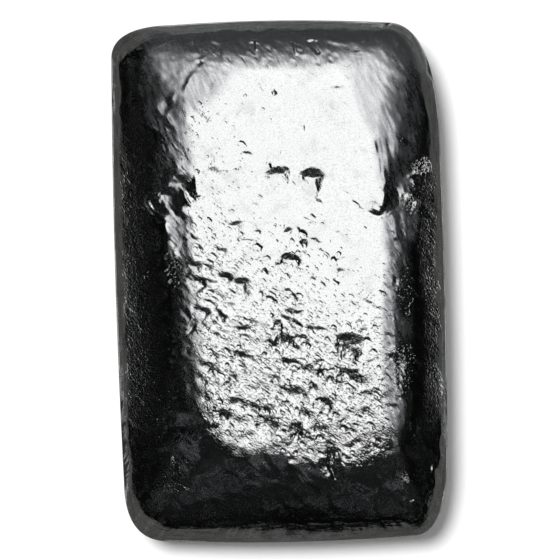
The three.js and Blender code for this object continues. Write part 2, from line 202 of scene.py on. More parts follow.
# Ridges and grooves: both ends, width and height, a groove's height being negative.
STROKES = [
    (-16.8, 12.3, -14.9, 13.4, 0.5, 0.16),
    (-18, 12, -16.4, 12.1, 0.45, 0.15),
    (-16.4, 12.1, -16.3, 11.3, 0.4, 0.13),
    (-18, 11.2, -17, 9.8, 0.6, 0.17),
    (-16.5, 9.6, -15.5, 8.9, 0.6, 0.12),
    (-15.8, 8.6, -15.4, 7.2, 0.6, 0.06),
    (-15.4, 10.5, -12.6, 9.3, 1, 0.08),
    (-15.9, 8.4, -15.7, 4.6, 3.2, 0.24),
    (-12.9, 12.3, -12.1, 10.9, 0.4, 0.1),
    (19.1, 10.4, 18.4, 8.9, 0.6, 0.22),
    (18.1, 14, 20.9, 15.3, 0.4, 0.08),
    (15.7, 8.6, 16.1, 5.8, 1, 0.13),
    (17.3, 8.8, 17.6, 5.8, 1.3, 0.12),
    (9.2, 12, 11.3, 9.4, 0.35, -0.06),
    (15.7, 17.9, 18.4, 16.6, 0.35, 0.09),
    (13.9, 19, 14.8, 12.9, 0.8, 0.1),
    (14.7, 19, 15.5, 13.5, 0.8, 0.08),
    (16.9, 20, 16.3, 15.2, 2.8, 0.16),
    (17.2, 8.6, 17.9, -1, 4.2, 0.2),
    (18, -14.5, 17.3, -19.5, 4.5, 0.16),
    (-11.3, 33.4, -10.7, 31.4, 0.35, 0.07),
    (-12.3, 26.8, -11.2, 28.7, 0.6, 0.1),
    (-16.3, 24.2, -14.6, 21.9, 0.7, 0.12),
    (-15, 22.8, -13.6, 20.9, 0.6, 0.1),
    (-18.4, 22.1, -16, 21, 0.3, 0.08),
    (-3.3, 33.2, -2.3, 32.9, 0.4, 0.08),
    (-2.4, 33.3, -2.5, 31.9, 0.35, 0.08),
    (2.6, 34.2, 2.9, 31.2, 0.35, 0.07),
    (4.9, 33.2, 5.8, 33.1, 0.3, 0.08),
    (4.8, 32.8, 5.9, 31.3, 0.4, -0.1),
    (9.9, 29.6, 10.1, 27.7, 0.5, -0.1),
    (11.3, 31.2, 11.5, 30.8, 0.3, 0.08),
    (18.5, 30.4, 18.5, 30.2, 0.3, 0.08),
    (18.1, 27.6, 18.1, 27.4, 0.3, 0.08),
    (18.1, 25.3, 18, 25.1, 0.3, 0.08),
    (17.2, 22, 17.2, 21.8, 0.3, 0.08),
    (18.3, 19.9, 18.6, 18.6, 0.5, 0.1),
    (15.3, -29.3, 16.3, -30, 0.4, -0.05),
    (16.8, -31, 18.1, -32.1, 0.4, -0.05),
    (18.5, -32, 19.3, -32.7, 0.4, -0.05),
    (17.1, -30.8, 17.7, -30.8, 0.4, 0.1),
    (11.8, -16, 13.2, -15.3, 0.35, -0.05),
    (13.2, -15.3, 13.8, -13.8, 0.35, -0.05),
    (-14.7, -20.3, -13.7, -20.4, 0.35, 0.09),
    (-14.5, -21.4, -13.8, -20.9, 0.35, 0.09),
    (-12.6, -20.5, -12.2, -21, 0.35, 0.09),
    (-3, -31, -2, -31.6, 0.4, 0.08),
    (-1.8, -31.3, -0.8, -30.9, 0.4, 0.08),
    (0.2, -30.7, 1.6, -31.1, 0.4, 0.07),
    (-2.8, -32.1, -2.4, -31.4, 0.4, 0.08),
    (4.7, -31.4, 5.2, -31.9, 0.4, 0.06),
]

# Strength of a patch is full where 1 - r^2 is above this, r being 0 at its middle and 1 at its edge.
PATCH_FADE = 0.7

# Torn patches, with fine bright specks: middle, length, width, strength, turn.
TORN_PATCHES = [
    (17.6, 10.6, 3.4, 3.4, 1, 0),
    (19.9, 15.4, 4, 3.2, 1, 25),
    (17.2, 19, 3, 1.2, 0.7, -30),
    (-12.2, 12, 3.4, 2.4, 0.7, -60),
    (9.5, -9.3, 4.4, 3.8, 0.85, 0),
    (9.5, -13.6, 4.2, 2.4, 0.8, -35),
    (15.6, -10.3, 4, 3, 0.9, 0),
    (16.7, -12.5, 11, 4, 0.75, 80),
    (17.2, -2, 10, 3, 0.7, 92),
    (-14.6, 2.5, 9, 3.2, 0.75, 95),
]

# How much of the dullness a tear takes away.
TEAR_SHINE = 0.7

# Patches where the skin is dull and folded, in the same form. Above 1 they are only duller.
DULL_PATCHES = [
    (-14.6, 10, 5, 4, 0.8, -40),
    (16.9, 21, 24, 8, 1.4, 85),
    (16.8, 7.5, 12, 6, 1.6, 80),
    (-14.5, 16, 14, 7, 1.1, 80),
    (-15.2, 22.8, 10, 5.5, 1.5, -50),
    (-13.8, 5, 14, 4.5, 0.9, 85),
    (-12, 28, 16, 10, 1, 30),
    (-15.5, 29, 13, 8, 1.25, 65),
    (14, 28, 14, 8, 0.8, -50),
    (13.4, 24.5, 17, 5.5, 0.8, -72),
    (2, 32, 40, 7, 0.8, 0),
    (16, -7, 37, 5.2, 1.5, 88),
    (-12.8, -5, 34, 4.5, 0.7, 93),
]

# Gas pits: a steep arched upper side and a gentle lower one. Middle of the chord between the
# arch's ends, chord length, turn of the chord from +X towards +Y in degrees, rise of the arch,
# and width of the steep side. All steep sides are widened and all arches lengthened alike.
PIT_WIDENING = 1.2
PIT_LENGTHENING = 1.15

# Slope of the steep side, where towards the head pits get steeper, as the softbox reaches
# further there, and by how much per mm.
PIT_SLOPE = math.radians(12)
PIT_STEEPER_FROM = 14
PIT_STEEPENING = math.radians(0.6)

# The rise to the lip, as a part of the depth, and the lengths of that rise and of the gentle
# lower side, as parts of the steep side's width.
LIP_RISE = 0.35
LIP_RUN_IN = 2.0
PIT_RUN_OUT = 2.2

# Dullness of steep sides, and the falls over a short distance at which it starts and is full.
PIT_DULLNESS = 0.8
PIT_FALL_DISTANCE = 0.24
PIT_FALLS = (0.01, 0.04)
PITS = [
    (-4.1, 17.7, 1.8, -15, 0.27, 0.36),
    (-8.8, 15.1, 2.5, -20, 0.82, 0.49),
    (0, 15.1, 3.5, 10, 0.68, 0.96),
    (4.8, 14.5, 3.6, -5, 1.09, 1.23),
    (3.4, 13.7, 1.7, -75, 0, 0.27),
    (5.6, 10.9, 1.2, -35, 0.14, 0.34),
    (-5.9, 8.1, 2.1, 10, 0.41, 0.62),
    (-7.2, 8.6, 1.4, -40, 0, 0.25),
    (1.3, 6.8, 1.4, 15, 0.68, 0.55),
    (3.2, 7, 1.9, -35, 0.14, 0.49),
    (3.3, 5.7, 1.2, 20, 0.14, 0.49),
    (5.1, 5.5, 2.1, -20, 0.27, 0.36),
    (1.5, 2.9, 3, -10, 1.09, 0.96),
    (-11.4, 2.7, 1.8, 5, 0.41, 0.62),
    (-9.5, 2.4, 1, -25, 0.14, 0.49),
    (-11.3, 0.7, 3, -5, 0.41, 0.68),
    (-10.1, 0.1, 1.6, -55, 0.14, 0.68),
    (-9.2, -0.9, 0.7, -30, 0.14, 0.41),
    (-7.4, 1, 1.8, 5, 0.55, 0.75),
    (-5.3, 0.2, 2.1, 0, 0.55, 0.96),
    (-2.7, -1.3, 0.8, 0, 0.14, 0.33),
    (1, -1.1, 1, -10, 0.21, 0.3),
    (-11.6, 6.5, 1.5, -35, 0.07, 0.38),
    (-12.8, 6.2, 1, -30, 0.07, 0.36),
    (-4.9, 5.8, 0.7, -15, 0.21, 0.27),
    (-3.9, 5.7, 0.8, -35, 0.21, 0.27),
    (-3, 6.9, 1.3, 0, 0.21, 0.25),
    (-10.5, -3.5, 2.8, -30, 0.27, 0.68),
    (-11.5, -4.9, 1.2, -30, 0.14, 0.68),
    (-7.9, -4.4, 1.5, -25, 0.14, 0.49),
    (-9.1, -5.1, 0.8, 0, 0.14, 0.47),
    (-4.8, -6.4, 2.1, 10, 0.62, 0.55),
    (-4.1, -5.8, 2.8, -40, 0.62, 0.3),
    (1.9, -3.9, 2.4, -10, 0.21, 0.68),
    (-0.5, -5.5, 1.5, 5, 0.41, 0.68),
    (1.2, -5.4, 3.5, -25, 0.68, 0.63),
    (0.8, -7.3, 2.7, -30, 0.27, 1.16),
    (2.2, -8.7, 1.5, -50, 0.07, 0.62),
    (2.9, -7.7, 2.2, -25, 0.27, 0.49),
    (-1.3, -8.6, 1.2, -20, 0.14, 0.47),
    (-5.5, -9.8, 1.9, -20, 0.41, 0.68),
    (1.2, -10.7, 2.6, -15, 0.21, 0.52),
    (5, -11, 1.8, 0, 0.34, 0.38),
    (5.4, -12.1, 0.9, -20, 0.14, 0.41),
    (1.6, -15.1, 3.2, -5, 0.82, 0.96),
    (-9.5, -11.3, 2.7, -30, 0.14, 0.63),
    (-6.8, -12.5, 1.3, 10, 0.21, 0.6),
    (-10.8, -13.1, 2, -10, 0.55, 0.41),
    (-6.6, -14, 1.2, -25, 0.14, 0.49),
    (-6.7, -16, 2.1, -5, 0.41, 0.77),
    (-1.8, -18.9, 4, -30, 0.55, 1.03),
    (-2, -17.2, 2.3, 0, 0.55, 0.82),
    (3.2, -17.7, 2, -25, 0.21, 0.82),
    (6.2, -16.4, 2.1, -15, 0.27, 0.82),
    (8.1, -16.3, 1.8, -45, 0.07, 0.41),
    (-7.7, -17.8, 1.9, -20, 0.27, 0.74),
    (1.9, -19.8, 2.4, -15, 0.27, 0.82),
    (2.3, -21.5, 2.2, -80, 0, 0.33),
    (4.4, -6.2, 1.4, -35, 0.07, 0.41),
    (5.5, -6.4, 1.4, -25, 0.07, 0.36),
    (9, -4.7, 2, -40, 0, 0.16),
    (10.7, -5.6, 0.8, -10, 0.11, 0.33),
    (11.5, -6.6, 0.9, -30, 0.11, 0.33),
    (9.5, -7.8, 4, -10, 0.6, 1.5),
    (9.9, -9.6, 3, -25, 0.2, 0.6),
    (9.9, -12.8, 4.4, -35, 0.4, 1.2),
    (15.6, -10.2, 2.6, 5, 0.27, 1.09),
    (7.1, -25.2, 4.3, -85, 0, 0.68),
    (8.5, 26.4, 1.8, 5, 0.27, 0.41),
    (14.6, 10.9, 4.4, 65, 0.2, 1.8),
    (13.4, 9.1, 2.5, -15, 0.3, 0.6),
    (-13.1, 14.5, 3.4, 18, 0.6, 1.2),
    (-14.5, 12.6, 2.8, 5, 0.9, 1.2),
    (-13.3, 9.8, 3.2, -25, 0.2, 0.7),
    (-14.6, 25, 1.3, -35, 0.25, 0.6),
    (-10.2, 30.5, 0.6, -35, 0.2, 0.4),
    (-14.1, 21.8, 0.7, -35, 0.2, 0.45),
]

# Smooth hollows in the skin: middle, length, width, depth, turn.
HOLLOWS = [
    (-14.6, 12.3, 8.2, 5.6, 0.12, 60),
    (16.6, 13.6, 8.6, 5.4, 0.3, 72),
    (-14.7, 24.6, 6.2, 3.4, 0.08, -50),
    (7, -25.6, 9, 2.6, 0.2, -80),
    (-13, -25.5, 26, 15, 0.42, -49),
    (-13.2, -15.5, 14, 9, 0.14, 95),
    (16, -25.5, 20, 13, 0.35, 45),
]


# ---- Silver ----

# Colours of bright skin, dull skin, tarnish and the drafted sides, and an almost black painted
# shade on the rolled edge and steep crevices, standing in for the shadow line at the outline.
BRIGHT_SILVER = (0.945, 0.95, 0.95, 1)
DULL_SILVER = (0.5, 0.52, 0.54, 1)
TARNISH = (0.45, 0.46, 0.46, 1)
SIDE_SILVER = (0.45, 0.45, 0.44, 1)
PAINTED_EDGE_SHADE = (0.06, 0.06, 0.06, 1)

# Rises of the unit normal at which the sides end and the painted shade starts, and at which the
# rolled edge and the painted shade end.
SIDES_END = (0.15, 0.25)
EDGE_ENDS = (0.765, 0.79)

# Roughness of the sides, and what full dullness adds to the skin's roughness and colour.
SIDE_ROUGHNESS = 0.45
DULL_ROUGHNESS = 0.2
DULL_COLOUR_SHARE = 0.8

# Noises: length and width of the bumps in mm, turn from +X towards +Y in degrees, and detail.
DULL_STREAKS = (2.4, 0.5, -70, 4)
WRINKLES = (0.45, 0.18, -42, 2)
GRAINS = (0.45, 0.25, -50, 2)
TEARS = (0.42, 0.28, 60, 2)

# Noises with round bumps: their number in a metre, and detail.
POLISH_GRAIN = (3000, 2)
TARNISH_SPOTS = (5000, 2)
TARNISH_STAINS = (450, 4)

# Ramps of noises and of the mesh's values: two values and the results there. Heights are in mm.
STREAK_DULLNESS = (0.3, 0.65, 0.5, 1)
GRAIN_ROUGHNESS = (0.35, 0.7, 0.04, 0.1)
SPOT_TARNISH = (0.45, 0.75, 0, 0.5)
STAIN_TARNISH = (0.5, 0.75, 0, 0.25)
RIM_TARNISH = (0.4, 0.7, 0, 0.45)
WRINKLE_HEIGHTS = (0, 1.3, 0.004, 0.024)
SMALL_PIT_SHARES = (0.5, 1.2, 0, 1)
TEAR_HEIGHTS = (0.86, 1.02, 0, 0.055)

# How much a torn patch adds to the noise of the tears.
TEAR_RISE = 0.35
GRAIN_HEIGHT = 0.07

# Streaks along the rim: length in mm, number in a mm across, detail and height.
RIM_STREAK_LENGTH = 3
RIM_STREAKS_ACROSS = 2.5
RIM_STREAK_DETAIL = 3
RIM_STREAK_HEIGHT = 0.008

# Chill marks of the mould: length along the sides, height up the sides, detail and relief.
MARK_LENGTH = 5
MARK_RISE = 0.7
MARK_DETAIL = 3
MARK_HEIGHT = 0.06

# Random wandering of the fine relief: how far, over what distance, detail and roughness.
WANDER = 0.5
WANDER_LENGTH = 0.9
WANDER_DETAIL = 2
WANDER_ROUGHNESS = 0.65

# Small pits, in parts of their cells: how irregular the cells are, half lengths of the shortest
# and longest pit, the arch's rise, the steep side's width, and where the run-out ends.
SMALL_PIT_SCATTER = 0.85
SMALL_PIT_HALF_LENGTHS = (0.2, 0.45)
SMALL_PIT_ARCH = 0.09
SMALL_PIT_BAND = 0.26
SMALL_PIT_END = 0.75

# Length, width and turn of their cells, in mm and degrees, the slope of the steep side, and the
# share of the cells that have one where the skin is roughest.
SMALL_PITS = [
    (2.4, 1.5, -28, 11, 0.2),
    (1.6, 1, -34, 12, 0.35),
    (1, 0.6, -38, 12, 0.5),
    (0.55, 0.34, -42, 12, 0.6),
]

# ---- Studio ----

# The camera looks straight down. Its distance, nearest view and aim are in metres.
CAMERA_DISTANCE = 0.45
CAMERA_CLIP = 0.01
CAMERA_AIM = (0.0, 0.2 * MM, 0.0068)
CAMERA_ROLL = math.radians(1.35)
CAMERA_SENSOR = 36
PIXELS = 560
MM_PER_PIXEL = 0.1379

# The softbox: its edges, as tangents of the angle from straight up, how softly it ends towards
# the foot and at the head, as parts of its half size, and how square it is, 2 being an ellipse.
SOFTBOX_LEFT = -0.22
SOFTBOX_RIGHT = 0.37
SOFTBOX_FOOT = -0.165
SOFTBOX_HEAD = 0.66
SOFTBOX_BLURS = (0.15, 0.3)
SOFTBOX_SQUARENESS = 2.4
SOFTBOX_LEVEL = 1.02
LEAST_RISE = 0.05

# Pairs below are parts of a unit direction over which a light starts or ends. The dim light is
# slightly blue: a glow high up at the foot, one over the head but not at the left, and spots.
DIM_TINT = (0.95, 1.0, 1.04, 1)
FOOT_GLOW_LEVEL = 0.006
FOOT_GLOW_UP = (0.75, 0.92)
FOOT_GLOW_ALONG = (-0.3, -0.1)
HEAD_GLOW_LEVEL = 0.042
HEAD_GLOW_ALONG = (0.2, 0.45)
HEAD_GLOW_ACROSS = (-0.4, -0.15)
SPOT_LEVEL = 0.09
SPOT_SCALE = 14
SPOT_DETAIL = 3
SPOT_VALUES = (0.58, 0.7)

# The walls are slightly olive and end at a low height, which is raised at the foot, and more in
# both corners on the left. Above them the room is almost black.
WALL_TINT = (1.0, 1.02, 0.97, 1)
WALL_LEVEL = 0.066
DARK_LEVEL = 0.002
WALL_SINE = 0.41
WALL_BLUR = 0.01
WALL_FOOT_RISE = 0.025
WALL_FOOT_ALONG = (-0.8, -0.5)
WALL_CORNER_RISE = 0.17
WALL_CORNER_REACH = (-1.16, -1.06)

# A bright band at the horizon, which shows the relief in views from a low angle.
HORIZON_LEVEL = 0.6
HORIZON_UP = (0.08, 0.18)

LAMP_STRENGTH = 3.0
LAMP_SPREAD = math.radians(20)
LAMP_TILT = math.radians(-16)

# The floor: half its size in metres, how far it is below the resting face, its grey, and the
# light it gives off to the camera and to reflections.
FLOOR_HALF = 1.5
FLOOR_DROP = 0.05 * MM
FLOOR_GREY = 0.93
FLOOR_GLOW = 0.09


# ---- Plan outlines ----


def even_points(curve, steps):
    """Points at even distances along a curve, without its last one."""
    fine = curve(np.linspace(0, 1, CURVE_SAMPLES)[:, None])
    travelled = np.concatenate([[0], np.cumsum(np.linalg.norm(np.diff(fine, axis=0), axis=1))])
    wanted = np.linspace(0, travelled[-1], steps + 1)[:-1]
    return np.stack([np.interp(wanted, travelled, fine[:, axis]) for axis in (0, 1)], axis=1)


def corner_curve(start, tip, end):
    leaving = start + (tip - start) * CORNER_FULLNESS
    arriving = end + (tip - end) * CORNER_FULLNESS
    return lambda t: (
        (1 - t) ** 3 * start
        + 3 * (1 - t) ** 2 * t * leaving
        + 3 * (1 - t) * t**2 * arriving
        + t**3 * end
    )


def side_curve(start, end, bulge):
    along = (end - start) / np.linalg.norm(end - start)
    outwards = np.array([along[1], -along[0]])
    handle = (start + end) / 2 + outwards * 2 * bulge
    return lambda t: (1 - t) ** 2 * start + 2 * (1 - t) * t * handle + t**2 * end


def corner_ends(corner, sign_x, sign_y):
    """The corner's tip, and its rounding's ends on the short and on the long side."""
    x, y, along_end, along_side = corner
    tip = np.array([x, y])
    on_end = np.array([x - sign_x * along_end, y])
    on_side = np.array([x, y - sign_y * along_side])
    return tip, on_end, on_side


def outline_points(corners, bulge):
    """Points round an outline, counter-clockwise from the middle of the foot-left corner."""
    arcs = []
    for name, (sign_x, sign_y) in CORNER_SIGNS.items():
        tip, on_end, on_side = corner_ends(corners[name], sign_x, sign_y)
        if sign_x == sign_y:
            arcs.append((on_side, tip, on_end))
        else:
            arcs.append((on_end, tip, on_side))
    runs = []
    for arc, next_arc, (name, steps) in zip(arcs, arcs[1:] + arcs[:1], STEPS_OF_SIDES.items()):
        runs.append(even_points(corner_curve(*arc), CORNER_STEPS))
        runs.append(even_points(side_curve(arc[2], next_arc[0], bulge[name]), steps))
    points = np.concatenate(runs)
    return np.roll(points, -CORNER_STEPS // 2, axis=0)


def inward_normals(points):
    along = np.roll(points, -1, axis=0) - np.roll(points, 1, axis=0)
    along /= np.linalg.norm(along, axis=1)[:, None]
    return np.stack([-along[:, 1], along[:, 0]], axis=1)


# ---- Relief of the skin ----


def turned(x, y, turn):
    """Plan coordinates along a direction, turned in degrees from +X towards +Y, and across it."""
    turn = math.radians(turn)
    return x * math.cos(turn) + y * math.sin(turn), y * math.cos(turn) - x * math.sin(turn)


def random_field(length, width, turn, slope, seed, lean=0):
    """A random relief over the whole plan, as a grid of heights FIELD_STEP apart."""
    rows = int(LENGTH / FIELD_STEP) + 2 * FIELD_MARGIN
    columns = int(WIDTH / FIELD_STEP) + 2 * FIELD_MARGIN
    spectrum = np.fft.rfft2(np.random.default_rng(seed).standard_normal((rows, columns)))
    wave_y = np.fft.fftfreq(rows, FIELD_STEP)[:, None]
    wave_x = np.fft.rfftfreq(columns, FIELD_STEP)[None, :]
    along, across = turned(wave_x, wave_y, turn)
    reach = (along * length) ** 2 + (across * width) ** 2
    field = np.fft.irfft2(spectrum * reach * np.exp(-reach), s=(rows, columns))
    if lean:
        x = (np.arange(columns) - FIELD_MARGIN) * FIELD_STEP - WIDTH / 2
        y = (np.arange(rows) - FIELD_MARGIN) * FIELD_STEP - LENGTH / 2
        x, y = np.meshgrid(x, y)
        shift = lean * field / field.std()
        field = sample(field, x - shift * LEAN_TOWARDS[0], y - shift * LEAN_TOWARDS[1])
    steep_y, steep_x = np.gradient(field, FIELD_STEP)
    return field * math.tan(math.radians(slope)) / math.sqrt(np.mean(steep_x**2 + steep_y**2))


def sample(field, x, y):
    """The field's heights at plan points, between its grid points."""
    column = (x + WIDTH / 2) / FIELD_STEP + FIELD_MARGIN
    row = (y + LENGTH / 2) / FIELD_STEP + FIELD_MARGIN
    column = np.clip(column, 0, field.shape[1] - 2)
    row = np.clip(row, 0, field.shape[0] - 2)
    c = column.astype(int)
    r = row.astype(int)
    u = column - c
    v = row - r
    low = field[r, c] * (1 - u) + field[r, c + 1] * u
    high = field[r + 1, c] * (1 - u) + field[r + 1, c + 1] * u
    return low * (1 - v) + high * v


def warped(x, y):
    """Plan points shifted at random, so that what is placed by them looks irregular."""
    return x + sample(FIELDS["warp_x"], x, y), y + sample(FIELDS["warp_y"], x, y)


def local(x, y, feature):
    """Plan points in a feature's own axes, as parts of its half length and half width."""
    middle_x, middle_y, length, width, _, turn = feature
    along, across = turned(x - middle_x, y - middle_y, turn)
    return along / (length / 2), across / (width / 2)


def hollow(x, y, feature):
    along, across = local(x, y, feature)
    return feature[4] * np.clip(1 - along**2 - across**2, 0, None) ** 2


def pit(x, y, feature):
    """A pit's depth: a rise to its lip, the steep side below the arch, and the gentle side."""
    middle_x, middle_y, length, turn, arch, band = feature
    along, across = turned(x - middle_x, y - middle_y, turn)
    bow = np.clip(1 - (along / (length / 2 * PIT_LENGTHENING)) ** 2, 0, None)
    reach = PIT_WIDENING * band * bow + TINY
    below_arch = (arch * bow - across) / reach
    run_in = np.clip(below_arch / LIP_RUN_IN + 1, 0, 1)
    steep = np.clip(below_arch, 0, 1)
    run_out = np.clip((below_arch - 1) / PIT_RUN_OUT, 0, 1)
    level = steep - LIP_RISE * run_in
    level = np.where(below_arch > 1, (1 - LIP_RISE) * (1 - run_out), level)
    slope = PIT_SLOPE + PIT_STEEPENING * max(middle_y - PIT_STEEPER_FROM, 0)
    return reach * np.sqrt(bow) * math.tan(slope) * level


def stroke(x, y, feature):
    """A ridge, rounded across and faded out at its ends."""
    x1, y1, x2, y2, width, height = feature
    length = math.hypot(x2 - x1, y2 - y1)
    along = ((x - x1) * (x2 - x1) + (y - y1) * (y2 - y1)) / length
    across = ((x - x1) * (y2 - y1) - (y - y1) * (x2 - x1)) / length
    beyond = np.clip(np.abs(along - length / 2) - length / 2, 0, None)
    return height * np.exp(-(across**2 + beyond**2) / (width / 2) ** 2)


def patches(x, y, features):
    """Strength of the strongest of some oval patches, which fade out at their edges."""
    strengths = []
    for feature in features:
        along, across = local(x, y, feature)
        strengths.append(feature[4] * smooth_step(1 - along**2 - across**2, 0, PATCH_FADE))
    return np.max(strengths, axis=0)


def smooth_step(value, low, high):
    part = np.clip((value - low) / (high - low), 0, 1)
    return part * part * (3 - 2 * part)


def roughening(x, y):
    """How rough the skin is: smoothest towards the head, roughest towards the foot and left."""
    part = np.clip((y - SMOOTHER_FROM) / SMOOTHER_OVER, 0, 1)
    return ROUGHNESS_AT_FOOT - ROUGHNESS_FALL * part - ROUGHER_TO_LEFT * x


def scattered_nicks():
    """Random small pits, in the form of the rows of PITS."""
    random = np.random.default_rng(NICK_SEED)
    nicks = []
    for _ in range(NICK_TRIES):
        x, y, turn, arch, band, chance = random.uniform(NICK_LOWEST, NICK_HIGHEST)
        length = random.uniform(*NICK_LENGTHS) * (1 + roughening(x, y)) / 2
        if chance < roughening(x, y) ** 2:
            nicks.append((x, y, length, NICK_TURN + turn, arch * length, band * length))
    return nicks


def pit_depths(x, y, wrinkling):
    """How deep the pits and the nicks are, for a strength of the fine wrinkles."""
    depth = sum(pit(x, y, feature) for feature in PITS)
    for feature in scattered_nicks():
        distance = np.hypot(x - feature[0], y - feature[1])
        near = np.flatnonzero(distance < NICK_REACH * feature[2])
        depth[near] += wrinkling[near] * pit(x[near], y[near], feature)
    return depth


def relief(x, y, wrinkling):
    """How far the skin stands above its smooth form, for a strength of the fine wrinkles."""
    height = sum(sample(FIELDS[name], x, y) for name in ("streaks", "pebbles")) * roughening(x, y)
    height *= wrinkling
    height += sum(sample(FIELDS[name], x, y) for name in ("swell", "ripple"))
    place = warped(x, y)
    folding = np.minimum(patches(*place, DULL_PATCHES), FOLDING_LIMIT)
    height += sample(FIELDS["folds"], x, y) * folding
    for feature in HOLLOWS:
        height -= hollow(*place, feature)
    for feature in STROKES:
        height += stroke(*place, feature)
    return height - pit_depths(*place, wrinkling)


FIELDS = {
    "swell": random_field(**SWELL),
    "ripple": random_field(**RIPPLE),
    "streaks": random_field(**STREAKS),
    "pebbles": random_field(**PEBBLES),
    "folds": random_field(**FOLDS),
    "notches": random_field(**NOTCHES, seed=15) + random_field(**FINE_NOTCHES, seed=25),
    "warp_x": random_field(**WARP, seed=21) + random_field(**FINE_WARP, seed=23),
    "warp_y": random_field(**WARP, seed=22) + random_field(**FINE_WARP, seed=24),
}


# ---- Rings of the loft ----


def mix(first, last, part):
    return first + (last - first) * part


def between_corners(values, x, y):
    """A value at plan points, from its values at the four corners."""
    along = y / LENGTH + 0.5
    across = x / WIDTH + 0.5
    foot = mix(values["foot_left"], values["foot_right"], across)
    head = mix(values["head_left"], values["head_right"], across)
    return mix(foot, head, along)


def wall_top(x, y):
    return between_corners(WALL_TOPS, x, y)


def ring(outline, inwards, inset, z):
    plan = outline + inwards * np.broadcast_to(inset, len(outline))[:, None]
    return np.column_stack([plan, np.broadcast_to(z, len(outline))])


def side_rings(outline, inwards):
    """Rings from the resting face's edge, up the fillet and the drafted wall, over the roll."""
    top = wall_top(*outline.T)
    tangent = FOOT_FILLET * (1 - math.sin(DRAFT))
    rings = []
    for k in range(FILLET_STEPS):
        turn = math.pi / 2 + (DRAFT - math.pi / 2) * k / FILLET_STEPS
        middle = (top - tangent) * math.tan(DRAFT) + FOOT_FILLET * math.cos(DRAFT)
        rings.append(ring(outline, inwards, middle - FOOT_FILLET * math.cos(turn),
                          FOOT_FILLET * (1 - math.sin(turn))))
    for k in range(WALL_STEPS):
        z = tangent + (top - tangent) * k / WALL_STEPS
        rings.append(ring(outline, inwards, (top - z) * math.tan(DRAFT), z))
    for k in range(ROLL_STEPS + 1):
        turn = (math.pi / 2 - SHOULDER_SLOPE) * k / ROLL_STEPS
        rings.append(ring(outline, inwards, EDGE_ROLL_RADIUS * (1 - math.cos(turn)),
                          top + EDGE_ROLL_RADIUS * math.sin(turn)))
    return rings


def crown(x, y):
    sag = CROWN_SAG_SIDES * (2 * x / WIDTH) ** 2 + CROWN_SAG_ENDS * (2 * y / LENGTH) ** 2
    return CROWN_HEIGHT - sag


def depths(corners, bulge, x, y):
    """How far plan points are inside the foot, right, head and left side of an outline."""
    along = y / LENGTH + 0.5
    across = x / WIDTH + 0.5
    bow_along = 4 * along * (1 - along)
    bow_across = 4 * across * (1 - across)
    foot = mix(corners["foot_left"][1], corners["foot_right"][1], across) - bulge["foot"] * bow_across
    right = mix(corners["foot_right"][0], corners["head_right"][0], along) + bulge["right"] * bow_along
    head = mix(corners["head_left"][1], corners["head_right"][1], across) + bulge["head"] * bow_across
    left = mix(corners["foot_left"][0], corners["head_left"][0], along) - bulge["left"] * bow_along
    return np.stack([y - foot, right - x, head - y, x - left])


def smooth_form(x, y):
    """Height of the skin without relief: a crown that eases down to the rolled edge."""
    edge = wall_top(x, y) + EDGE_ROLL_RADIUS * math.cos(SHOULDER_SLOPE) + RIM_RISE
    rise = crown(x, y) - edge
    outer = depths(OUTLINE_CORNERS, OUTLINE_BULGE, x, y)
    reach = outer - depths(CORE_CORNERS, CORE_BULGE, x, y)
    outwards = 1 - np.clip(outer / reach, 0, 1)
    squareness = mix(CORE_SQUARENESS, between_corners(EDGE_SQUARENESS, x, y), outwards.max(axis=0))
    shares = outwards**squareness
    total = np.maximum(shares.sum(axis=0), TINY**2)
    easing = (shares * math.tan(SHOULDER_SLOPE) * reach / rise).sum(axis=0) / total
    return edge + rise * (1 - np.clip(total ** (1 / squareness), 0, 1) ** np.maximum(easing, 1))


def shoulder_parts():
    """How far each shoulder ring is from the rolled edge, as a part of the way to the core."""
    return (np.arange(1, SHOULDER_STEPS + 1) / SHOULDER_STEPS) ** SHOULDER_CROWDING


def rim_widths(edge):
    """The rim's width at each point of the edge, with notches."""
    places = []
    widths = []
    corner = 0
    for corner_name, (side_name, steps) in zip(CORNER_SIGNS, STEPS_OF_SIDES.items()):
        side_start = corner + CORNER_STEPS
        side_width = RIM_WIDTHS[side_name]
        places += [corner, side_start, corner + steps]
        widths += [RIM_WIDTHS[corner_name], side_width, side_width]
        corner = side_start + steps
    notches = sum(sample(FIELDS[name], *edge[:, :2].T) for name in ("notches", "warp_x"))
    plain = np.interp(np.arange(len(edge)), places + [corner], widths + widths[:1])
    return np.maximum(plain + notches, LEAST_RIM_WIDTH)


def shoulder_rings(edge, core):
    """Rings from the rolled edge to the core, and how far in they are from the edge and the rim."""
    widths = rim_widths(edge)
    gap = smooth_form(*edge[:, :2].T) - edge[:, 2] - RIM_STEEPENING * widths
    rings = []
    insets = []
    beyond_rim = []
    for part in shoulder_parts():
        plan = mix(edge[:, :2], core, part)
        inwards = np.linalg.norm(plan - edge[:, :2], axis=1)
        left_of_rim = RIM_SOFTNESS * np.logaddexp(0, (widths - inwards) / RIM_SOFTNESS)
        near_edge = np.clip(1 - inwards / EDGE_DROP_REACH, 0, 1)
        drop = RIM_STEEPENING * left_of_rim + gap * near_edge**2
        rings.append(np.column_stack([plan, smooth_form(*plan.T) - drop]))
        insets.append(inwards)
        beyond_rim.append(inwards - widths)
    return rings, np.concatenate(insets), np.concatenate(beyond_rim)


# ---- Core ----


